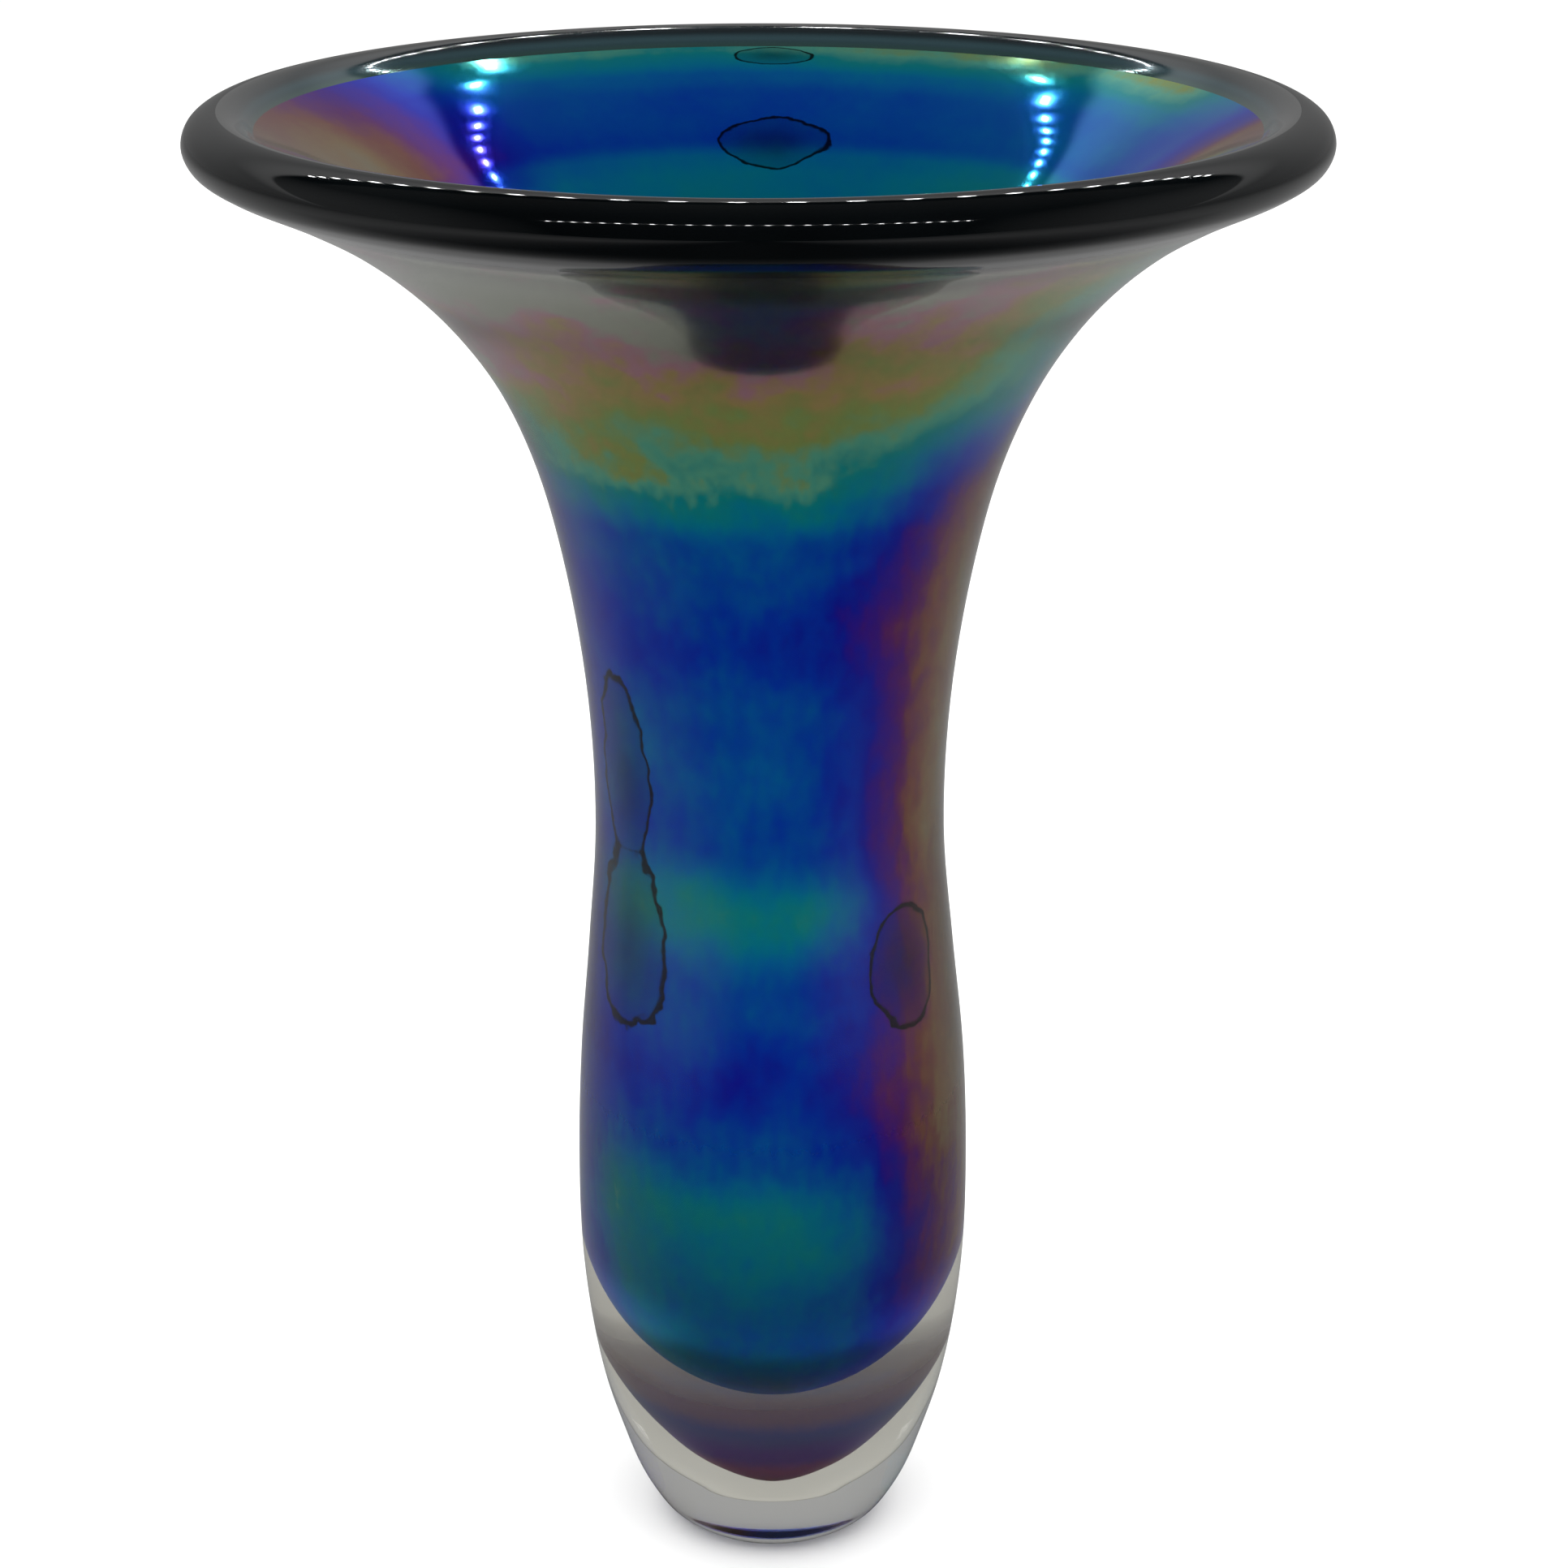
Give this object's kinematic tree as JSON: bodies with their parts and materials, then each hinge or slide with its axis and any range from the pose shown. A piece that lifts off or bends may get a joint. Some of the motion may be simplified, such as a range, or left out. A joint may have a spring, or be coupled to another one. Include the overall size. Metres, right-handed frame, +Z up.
{
  "type": "hand blown glass vase",
  "caption": "Tall hand blown glass vase with a waisted body, wide flared mouth, rolled dark lip, iridescent dark inner layer and thick clear foot.",
  "frame": {"origin": "centre of the ground foot, on the surface the vase stands on", "axes": "+Z up along the vase's axis; the vase is round, so +X and +Y are free, and the picture looks along +Y"},
  "size_m": [0.2008, 0.2008, 0.28],
  "materials": {
    "clear_crystal": "clear fire polished glass, ground and polished under the foot",
    "luster_film": "clear glass whose outer skin carries a fumed iridescent lustre",
    "dark_core": "opaque cobalt glass, lustred blue to teal and violet",
    "lip_glass": "glossy near-black glass, fire polished"
  },
  "bodies": {
    "root": {"clear_casing": "clear_crystal", "luster_gather": "luster_film", "core_bubble": "dark_core", "lip_wrap": "lip_glass"}
  },
  "joints": []
}
